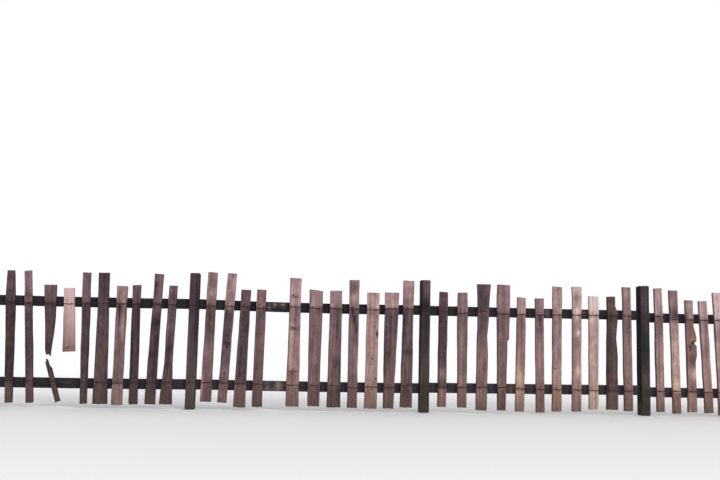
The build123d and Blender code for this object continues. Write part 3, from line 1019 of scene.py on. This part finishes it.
# The height over which the tone changes at a wire, the one under which boards turn yellow, and the places
# along the fence between which they do so more and more
wire_fade = 0.03
yellow_top = 0.9
yellow_from, yellow_to = -2.5, 2.5
# A knot's length over its width, and how hollow its eye stands
knot_length = 1.3
knot_hollow = 0.003
# The nails at a rail: their shares across a board, how far over and under the rail's middle they are, how
# far they stray, their least way from a board's end, how deep their heads sit, and their rust
nail_shares = (0.28, 0.72)
nail_share_stray = 0.06
nail_drop = 0.016
nail_stray = 0.008
nail_margin = 0.03
nail_sink = 0.0006
rust_halo = 0.008
rust_run_width = 0.005
nail_run_length = 0.13
nail_places = []


def make_paling(loop, seed, marks, rag, arrises=paling_arris, cracks=2):
    """One worn board from its outline and its marks, with the places of its nails noted."""
    left, right, foot, head = sides_of(loop)
    random = np.random.default_rng(seed)
    foot_at, head_at = foot[1].min(), head[1].max()
    checks = [Check("near", *split) for split in marks.splits]
    shares = [check.share for check in checks]
    for _ in range(cracks):
        share = random.uniform(0.15, 0.85)
        if all(abs(share - other) > crack_spacing for other in shares):
            shares.append(share)
            length = random.uniform(*crack_lengths)
            middle = random.choice([head_at, head_at, foot_at, random.uniform(foot_at, head_at)])
            opening, depth = random.uniform(*crack_openings), random.uniform(*crack_depths)
            checks.append(Check("near", share, middle - length, middle + length, opening, depth))
    if random.random() < 0.7:
        share = random.uniform(0.25, 0.75)
        if all(abs(share - other) > crack_spacing for other in shares):
            ends = head_at - 0.5, head_at + 0.4
            checks.append(Check("far", share, *ends, back_crack_opening, back_crack_depth))

    def end_line(chain):
        """The height of a board's end at a share across it."""
        return lambda share: np.interp(chain[0][0] + share * (chain[0][-1] - chain[0][0]), *chain)

    part = timber(
        low=lambda along: np.interp(along, *left) + edge_waver * drift(along, 0.15, seed + 11),
        high=lambda along: np.interp(along, *right) + edge_waver * drift(along, 0.15, seed + 12),
        near=front_face,
        far=back_face,
        foot=end_line(foot),
        head=end_line(head),
        arrises=arrises,
        checks=checks,
        seed=seed,
        between=(8, 2),
        pitch=0.0125,
        end_arris=0.0025,
        rag=rag,
        wander=0.005,
    )

    # Warp: a board leans back a little where it stands free over the upper and under the lower rail
    x, _, z = part["points"].T
    for start, reach, most in free_ends:
        part["points"][:, 1] += random.uniform(0.0, most) * np.clip((z - start) / reach, 0, 1) ** 1.5
    bowed = np.clip(1 - ((z - bow_middle) / bow_reach) ** 2, 0, 1)
    part["points"][:, 1] += random.uniform(0.0, bow) * bowed

    # Weathering: it changes at the wires, and the feet are the yellower the further right they stand
    low, high = np.interp(z, *left), np.interp(z, *right)
    weather(part, marks, low, high, paling_painted_side_shade)
    over_upper, over_lower = [z - np.interp(x, *route) for route in wires.values()]
    part["bleach"] += marks.head * np.clip(over_upper / wire_fade, 0, 1)
    part["bleach"] += marks.foot * np.clip(-over_lower / wire_fade, 0, 1)
    yellowed = np.clip((x.mean() - yellow_from) / (yellow_to - yellow_from), 0.0, 1.0)
    swing = np.where(z < yellow_top, 0.1 + 0.9 * yellowed, 1.0 - 0.5 * yellowed)
    part["warmth"] += 0.5 * swing * np.clip((yellow_top - z) / 0.7, -1.0, 1.0)
    near = part["near"]
    part["over_wires"] = np.where(near[:, None] > 0, np.column_stack([over_upper, over_lower, 0 * z]), 1.0)

    # Knots: the eye stands a little hollow, and the grain parts round it
    for across, height, radius in marks.knots:
        dx = x - (low + across * (high - low))
        dz = z - height
        reach = np.hypot(dx, dz / knot_length) / radius
        close = (reach < 3) & (near > 0)
        part["knot"][close] = np.column_stack([dx, dz / knot_length, 0 * dx])[close] / radius
        part["points"][:, 1] += knot_hollow * np.exp(-(reach**2)) * near
        push = np.exp(-((dz / (3 * radius)) ** 2)) * np.exp(-np.abs(dx) / (1.5 * radius))
        part["grain"][:, 0] -= np.sign(dx) * radius * push

    # Nails: two to a rail, with rust run down from each
    middle_x = (low.mean() + high.mean()) / 2
    for lines in rail_lines.values():
        rail_at = [rail_middle(line, middle_x) for line in lines if line[0][0] <= middle_x <= line[0][-1]][-1]
        if not foot_at + nail_margin < rail_at < head_at - nail_margin:
            continue
        for nail_share, sign in zip(nail_shares, (1, -1)):
            nail_z = rail_at + sign * nail_drop + random.uniform(-nail_stray, nail_stray)
            edges = np.interp(nail_z, *left), np.interp(nail_z, *right)
            share = nail_share + random.uniform(-nail_share_stray, nail_share_stray)
            nail_x = edges[0] + share * (edges[1] - edges[0])
            nail_places.append((nail_x, front_face + nail_sink, nail_z))
            dx, dz = x - nail_x, z - nail_z
            halo = np.exp(-(dx**2 + dz**2) / rust_halo**2)
            run = np.exp(-((dx / rust_run_width) ** 2)) * np.clip(-dz / 0.01, 0, 1)
            run *= np.clip(1 + dz / nail_run_length, 0, 1)
            rust = np.maximum(0.9 * halo, random.uniform(0.2, 0.6) * run) * near
            part["rust"] = np.maximum(part["rust"], rust)
    return part


# How ragged a board's foot and head are, where it was sawn and, on the broken paling and its stub, torn
sawn_rag = (0.006, 0.004)
torn_rags = [(0.018, 0.004), (0.006, 0.018)]
paling_seed = 2000
for node, board_marks in paling_marks.items():
    boards = []
    for number, (loop, marks) in enumerate(zip(back_outlines(node), board_marks)):
        paling_seed += 100
        rag = torn_rags[number] if node == "broken_paling" else sawn_rag
        arrises = half_round_arris if node == "tall_paling_2" else paling_arris
        boards.append(make_paling(loop, paling_seed, marks, rag, arrises))
    make_piece(f"{node}_timber", boards, node, paling_finish)

# New paling
# A newer board, cut short and nailed up in place of an old one. Fresh sawn softwood, still almost white,
# greying towards its foot and stained orange brown where that has been sawn and has weathered.
new_finish = timber_finish(
    "new_sawn_softwood",
    tones=[(0.0, "6f5955"), (0.3, "957a76"), (0.55, "b39692"), (0.8, "d0b5b1"), (1.0, "e8d5d0")],
    contrast=0.2,
    crack_tone="7a5a4e",
    rust_and_wire_shadow_tone="6b4636",
    tint_tone="6e4030",
    damp_tone="8a7a66",
    damp_top=0.05,
    end_tone="d9a878",
)
new_marks = Marks(
    0.52, -0.05,
    pale=[(0.85, 0.85, 0.03, 0.25, 0.08), (0.1, 0.8, 0.02, 0.25, -0.08), (0.7, 0.565, 0.03, 0.012, 0.15)],
    tinted=[(0.42, 0.597, 0.03, 0.011, 0.9), (0.08, 0.57, 0.02, 0.02, 0.4)],
)
new_paling_seed = 9000
# It is grey under a middle height and pale over it, over a reach, and stained up to a ragged line
grey_middle, grey_reach, greying = 0.8, 0.3, 0.35
stain_height = 0.075
stain_fade = 0.04
most_stain = 0.35
new_loop = back_outlines("new_paling")[0]
new_board = make_paling(new_loop, new_paling_seed, new_marks, rag=(0.005, 0.003), cracks=0)
new_x, _, new_z = new_board["points"].T
new_board["bleach"] += greying * np.clip((new_z - grey_middle) / grey_reach, -1, 1) - 0.05
stained_to = new_loop[:, 1].min() + stain_height
stained_to += 0.012 * drift(new_x, 0.03, 5) + 0.008 * drift(new_x, 0.012, 6)
new_board["tint"] += np.clip((stained_to - new_z) / stain_fade, 0, most_stain)
make_piece("new_paling_timber", [new_board], "new_paling", new_finish)

# Line wires
# Two plain iron wires, 4 mm thick, strained along the fronts from end post to end post. Drawn and once
# galvanised, now brown with rust. They rise and fall from staple to staple and waver a little between.
# Rust makes the iron dull and blotched. Its grains are drawn 4 mm wide, coarser than real ones, to show.
rust_grain = 0.004
rust_blotch = 0.03
pit_depth = 0.0004
iron, put = blank_finish("rusted_iron")
place = put("ShaderNodeTexCoord").outputs["Object"]
grit = put("ShaderNodeTexNoise", {"Vector": place, "Scale": 1 / rust_grain, "Detail": 3.0})
blotch = put("ShaderNodeTexNoise", {"Vector": place, "Scale": 1 / rust_blotch, "Detail": 3.0})
rusted = put("ShaderNodeMath", [grit, blotch], operation="ADD")
rusted = put("ShaderNodeMapRange", [rusted, 0.7, 1.3])
rust_colour = put("ShaderNodeValToRGB", [rusted])
lay_tones(rust_colour, [(0.0, "1e1513"), (0.5, "33221c"), (1.0, "53362a")])
pits = put("ShaderNodeBump", {"Strength": 0.5, "Distance": pit_depth, "Height": grit})
rough_iron = {"Base Color": rust_colour, "Roughness": 0.8, "Metallic": 0.25, "Normal": pits}
put("ShaderNodeOutputMaterial", {"Surface": put("ShaderNodeBsdfPrincipled", rough_iron)})


def new_tree(name, inputs):
    """A geometry node tree with named inputs, given as (name, kind, value).

    It comes with what adds its nodes, and with the sockets that give its inputs.
    """
    tree = bpy.data.node_groups.new(name, "GeometryNodeTree")
    tree.is_modifier = True
    tree.interface.new_socket(name="Geometry", in_out="INPUT", socket_type="NodeSocketGeometry")
    for label, kind, value in inputs:
        socket = tree.interface.new_socket(name=label, in_out="INPUT", socket_type=f"NodeSocket{kind}")
        socket.default_value = value
    tree.interface.new_socket(name="Material", in_out="INPUT", socket_type="NodeSocketMaterial")
    tree.interface.new_socket(name="Geometry", in_out="OUTPUT", socket_type="NodeSocketGeometry")
    return tree, partial(add, tree), add(tree, "NodeGroupInput").outputs


def drawn_wire(put, given, path, sides):
    """A round wire along a path, as thick as its tree's gauge, with closed ends."""
    radius = put("ShaderNodeMath", [given["Gauge"], 0.5], operation="MULTIPLY")
    section = put("GeometryNodeCurvePrimitiveCircle", {"Resolution": sides, "Radius": radius})
    return put("GeometryNodeCurveToMesh", {"Curve": path, "Profile Curve": section, "Fill Caps": True})


def driven(put, given, fixing, axes):
    """A fixing at each of its tree's points, turned at random about the axes by up to its askew angle."""
    least = put("ShaderNodeMath", [given["Askew"], -1.0], operation="MULTIPLY")
    limits = {2: least, 3: given["Askew"], "Seed": given["Seed"]}
    turn = put("FunctionNodeRandomValue", limits, data_type="FLOAT").outputs[1]
    turn = put("ShaderNodeCombineXYZ", dict.fromkeys(axes, turn))
    turn = put("FunctionNodeEulerToRotation", [turn])
    inputs = {"Points": given["Geometry"], "Instance": fixing, "Rotation": turn}
    return put("GeometryNodeInstanceOnPoints", inputs)


def close_tree(put, given, shape):
    """Ends a tree: the shape's instances are made real, and get the tree's material."""
    shape = put("GeometryNodeRealizeInstances", [shape])
    shape = put("GeometryNodeSetMaterial", {"Geometry": shape, "Material": given["Material"]})
    put("NodeGroupOutput", [shape])


def grow(name, tree, points, edges=(), **values):
    """The plain mesh object that a tree makes from points and edges, with its named inputs set."""
    source = bpy.data.meshes.new(name)
    source.from_pydata([tuple(point) for point in points], edges, [])
    piece = bpy.data.objects.new(name, source)
    collection.objects.link(piece)
    modifier = piece.modifiers.new(name, "NODES")
    modifier.node_group = tree
    for socket in tree.interface.items_tree:
        if socket.in_out == "INPUT" and socket.name in values:
            modifier[socket.identifier] = values[socket.name]
    graph = bpy.context.evaluated_depsgraph_get()
    grown = bpy.data.meshes.new_from_object(piece.evaluated_get(graph))
    piece.modifiers.remove(modifier)
    piece.data = grown
    return piece


wire_tree, put, given = new_tree("strained_wire", [
    ("Gauge", "Float", 0.004),
    ("Spacing", "Float", 0.022),
    ("Waver", "Float", 0.0016),
    ("Waves", "Float", 9.0),
    ("Seed", "Float", 0.0),
])
line = put("GeometryNodeMeshToCurve", [given["Geometry"]])
line = put("GeometryNodeResampleCurve", {"Curve": line, "Length": given["Spacing"]}, mode="LENGTH")
waves = {"W": given["Seed"], "Scale": given["Waves"]}
waves = put("ShaderNodeTexNoise", waves, noise_dimensions="4D")
lift = put("ShaderNodeMath", [waves, 0.5], operation="SUBTRACT")
for factor in (given["Waver"], 4.0):
    lift = put("ShaderNodeMath", [lift, factor], operation="MULTIPLY")
lift = put("ShaderNodeCombineXYZ", {"Z": lift})
line = put("GeometryNodeSetPosition", {"Geometry": line, "Offset": lift})
close_tree(put, given, drawn_wire(put, given, line, sides=8))

wire_stand = 0.00075
wire_line = front_face - wire_stand
for number, (level, (route_x, route_z)) in enumerate(wires.items()):
    route = [(x, wire_line, z) for x, z in zip(route_x, route_z)]
    steps = [(k, k + 1) for k in range(len(route) - 1)]
    wire = grow(f"{level}_wire_iron", wire_tree, route, steps, Seed=3.0 + number, Material=iron)
    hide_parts(f"{level}_wire")
    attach(wire, "root")

# Staples
# Round wire staples over the line wires, one to each paling and post, their legs driven deep into the
# timber. 2.5 mm iron wire, 14 mm across the crown, each set a little askew so as not to split the grain.
staple_tree, put, given = new_tree("fence_staple", [
    ("Crown", "Float", 0.014),
    ("Arch", "Float", 0.004),
    ("Legs", "Float", 0.025),
    ("Gauge", "Float", 0.0025),
    ("Askew", "Float", 0.5),
    ("Seed", "Int", 7),
])
leg_share = 0.34
path = put("GeometryNodeCurvePrimitiveLine")
path = put("GeometryNodeResampleCurve", {"Curve": path, "Count": 15}, mode="COUNT")
share = put("GeometryNodeSplineParameter").outputs["Factor"]
turn = put("ShaderNodeMapRange", [share, leg_share, 1 - leg_share, 0.0, math.pi])
first_leg = put("ShaderNodeMapRange", [share, 0.0, leg_share, given["Legs"], 0.0])
second_leg = put("ShaderNodeMapRange", [share, 1 - leg_share, 1.0, 0.0, given["Legs"]])
rise = put("ShaderNodeMath", [turn], operation="SINE")
rise = put("ShaderNodeMath", [rise, given["Arch"]], operation="MULTIPLY")
reach = put("ShaderNodeMath", [turn], operation="COSINE")
for factor in (given["Crown"], -0.5):
    reach = put("ShaderNodeMath", [reach, factor], operation="MULTIPLY")
depth = put("ShaderNodeMath", [first_leg, second_leg], operation="ADD")
depth = put("ShaderNodeMath", [depth, rise], operation="SUBTRACT")
bend = put("ShaderNodeCombineXYZ", {"Y": depth, "Z": reach})
path = put("GeometryNodeSetPosition", {"Geometry": path, "Position": bend})
staple = drawn_wire(put, given, path, sides=6)
close_tree(put, given, driven(put, given, staple, axes="Y"))

staple_places = []
for route_x, route_z in wires.values():
    staple_places += [(x, front_face, z) for x, z in zip(route_x[1:-1], route_z[1:-1])]
    for post in (post_names[0], post_names[-1]):
        middle = (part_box(post)[0].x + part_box(post)[1].x) / 2
        staple_places.append((middle, front_face, np.interp(middle, route_x, route_z)))
staples = grow("staples", staple_tree, staple_places, Material=iron)
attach(staples, "root")

# Nails
# Round headed wire nails, two through each paling into each rail. 3.2 mm steel with 8 mm heads driven
# flush, rusted brown. Four old ones were left in the rails where a paling is missing.
nail_tree, put, given = new_tree("fence_nail", [
    ("Head", "Float", 0.004),
    ("Shank", "Float", 0.0016),
    ("Length", "Float", 0.05),
    ("Askew", "Float", 0.12),
    ("Seed", "Int", 11),
])
dome = put("GeometryNodeMeshUVSphere", {"Segments": 10, "Rings": 6, "Radius": given["Head"]})
dome = put("GeometryNodeTransform", {"Geometry": dome, "Scale": (1.0, 0.35, 1.0)})
shank = {"Vertices": 6, "Radius": given["Shank"], "Depth": given["Length"]}
shank = put("GeometryNodeMeshCylinder", shank)
inward = put("ShaderNodeMath", [given["Length"], 0.5], operation="MULTIPLY")
inward = put("ShaderNodeCombineXYZ", {"Y": inward})
inward = {"Geometry": shank, "Translation": inward, "Rotation": (math.pi / 2, 0.0, 0.0)}
shank = put("GeometryNodeTransform", inward)
nail = put("GeometryNodeJoinGeometry")
for piece in (dome, shank):
    nail_tree.links.new(piece.outputs[0], nail.inputs[0])
close_tree(put, given, driven(put, given, nail, axes="XZ"))

# The old nails: their places along the fence, how far under the rail's middle they are, and how proud
old_nails = [(-1.585, 0.012), (-1.535, -0.018)]
old_nail_stand = 0.003
old_nail_bay = 1
for level, lines in rail_lines.items():
    rail_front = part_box(f"{level}_rail_{old_nail_bay + 1}")[0].y
    for nail_x, drop in old_nails:
        nail_z = rail_middle(lines[old_nail_bay], nail_x) - drop
        nail_places.append((nail_x, rail_front - old_nail_stand, nail_z))
nails = grow("nails", nail_tree, nail_places, Material=iron)
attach(nails, "root")

# Floor
# A plain pale studio floor that takes the fence's shadow. It fades to plain white away from the fence,
# where the camera alone sees it.
floor_reach = 30.0
fade_start, fade_end = 2.0, 8.0
fade_shape = (0.35, 1.0, 0.0)
corners = [(x * floor_reach, y * floor_reach, 0) for x, y in ((-1, -1), (1, -1), (1, 1), (-1, 1))]
floor_mesh = bpy.data.meshes.new("floor")
floor_mesh.from_pydata(corners, [], [(0, 1, 2, 3)])
floor = bpy.data.objects.new("floor", floor_mesh)
collection.objects.link(floor)
floor_paint, put = blank_finish("pale_studio_floor")
paper = put("ShaderNodeBsdfPrincipled", {"Base Color": linear("e8e8e8"), "Roughness": 0.9})
white = put("ShaderNodeEmission", {"Color": (1, 1, 1, 1), "Strength": 1.0})
spot = put("ShaderNodeTexCoord").outputs["Object"]
spot = put("ShaderNodeVectorMath", [spot, fade_shape], operation="MULTIPLY")
spot = put("ShaderNodeVectorMath", [spot], operation="LENGTH").outputs["Value"]
far_off = put("ShaderNodeMapRange", [spot, fade_start, fade_end], interpolation_type="SMOOTHSTEP")
seen = put("ShaderNodeLightPath").outputs["Is Camera Ray"]
far_off = put("ShaderNodeMath", [far_off, seen], operation="MULTIPLY")
put("ShaderNodeOutputMaterial", {"Surface": put("ShaderNodeMixShader", [far_off, paper, white])})
floor_mesh.materials.append(floor_paint)

# Light
# Even daylight from all round, which the camera and reflections see as white, and one wide soft sun
# from the upper right in front.
daylight = 0.8
sun_strength = 1.3
sun_width = math.radians(18)
towards_sun = Vector((0.62, -0.72, 0.55))
world = bpy.data.worlds.new("soft_daylight")
bpy.context.scene.world = world
world.use_nodes = True
world.node_tree.nodes.clear()
put = partial(add, world.node_tree)
rays = put("ShaderNodeLightPath").outputs
seen = rays["Is Camera Ray"]
for kind in ("Is Glossy Ray", "Is Transmission Ray"):
    seen = put("ShaderNodeMath", [seen, rays[kind]], operation="MAXIMUM")
sky = put("ShaderNodeBackground", {"Color": (1, 1, 1, 1), "Strength": daylight})
white = put("ShaderNodeBackground", {"Color": (1, 1, 1, 1), "Strength": 1.0})
put("ShaderNodeOutputWorld", {"Surface": put("ShaderNodeMixShader", [seen, sky, white])})

sun = bpy.data.objects.new("key_light", bpy.data.lights.new("key_light", "SUN"))
sun.data.energy = sun_strength
sun.data.angle = sun_width
sun.rotation_euler = towards_sun.to_track_quat("Z", "Y").to_euler()
collection.objects.link(sun)

# Camera
# It stands left of the middle and low in front of the fence, and looks a little up and to the right.
# Its place, turn and lens were fitted to the posts, the rails' edges and the palings' leans.
camera = bpy.data.objects.new("camera", bpy.data.cameras.new("camera"))
camera.data.lens = 42.5
camera.data.sensor_width = 36.0
camera_place = (-1.535, -8.894, 0.803)
yaw, pitch, roll = math.radians(5.343), math.radians(6.270), math.radians(1.290)
turn = Matrix.Rotation(-yaw, 4, "Z") @ Matrix.Rotation(math.pi / 2 + pitch, 4, "X")
turn = turn @ Matrix.Rotation(roll, 4, "Z")
camera.matrix_world = Matrix.Translation(camera_place) @ turn
collection.objects.link(camera)
bpy.context.scene.camera = camera
bpy.context.scene.view_settings.view_transform = "Standard"

bpy.context.view_layer.update()
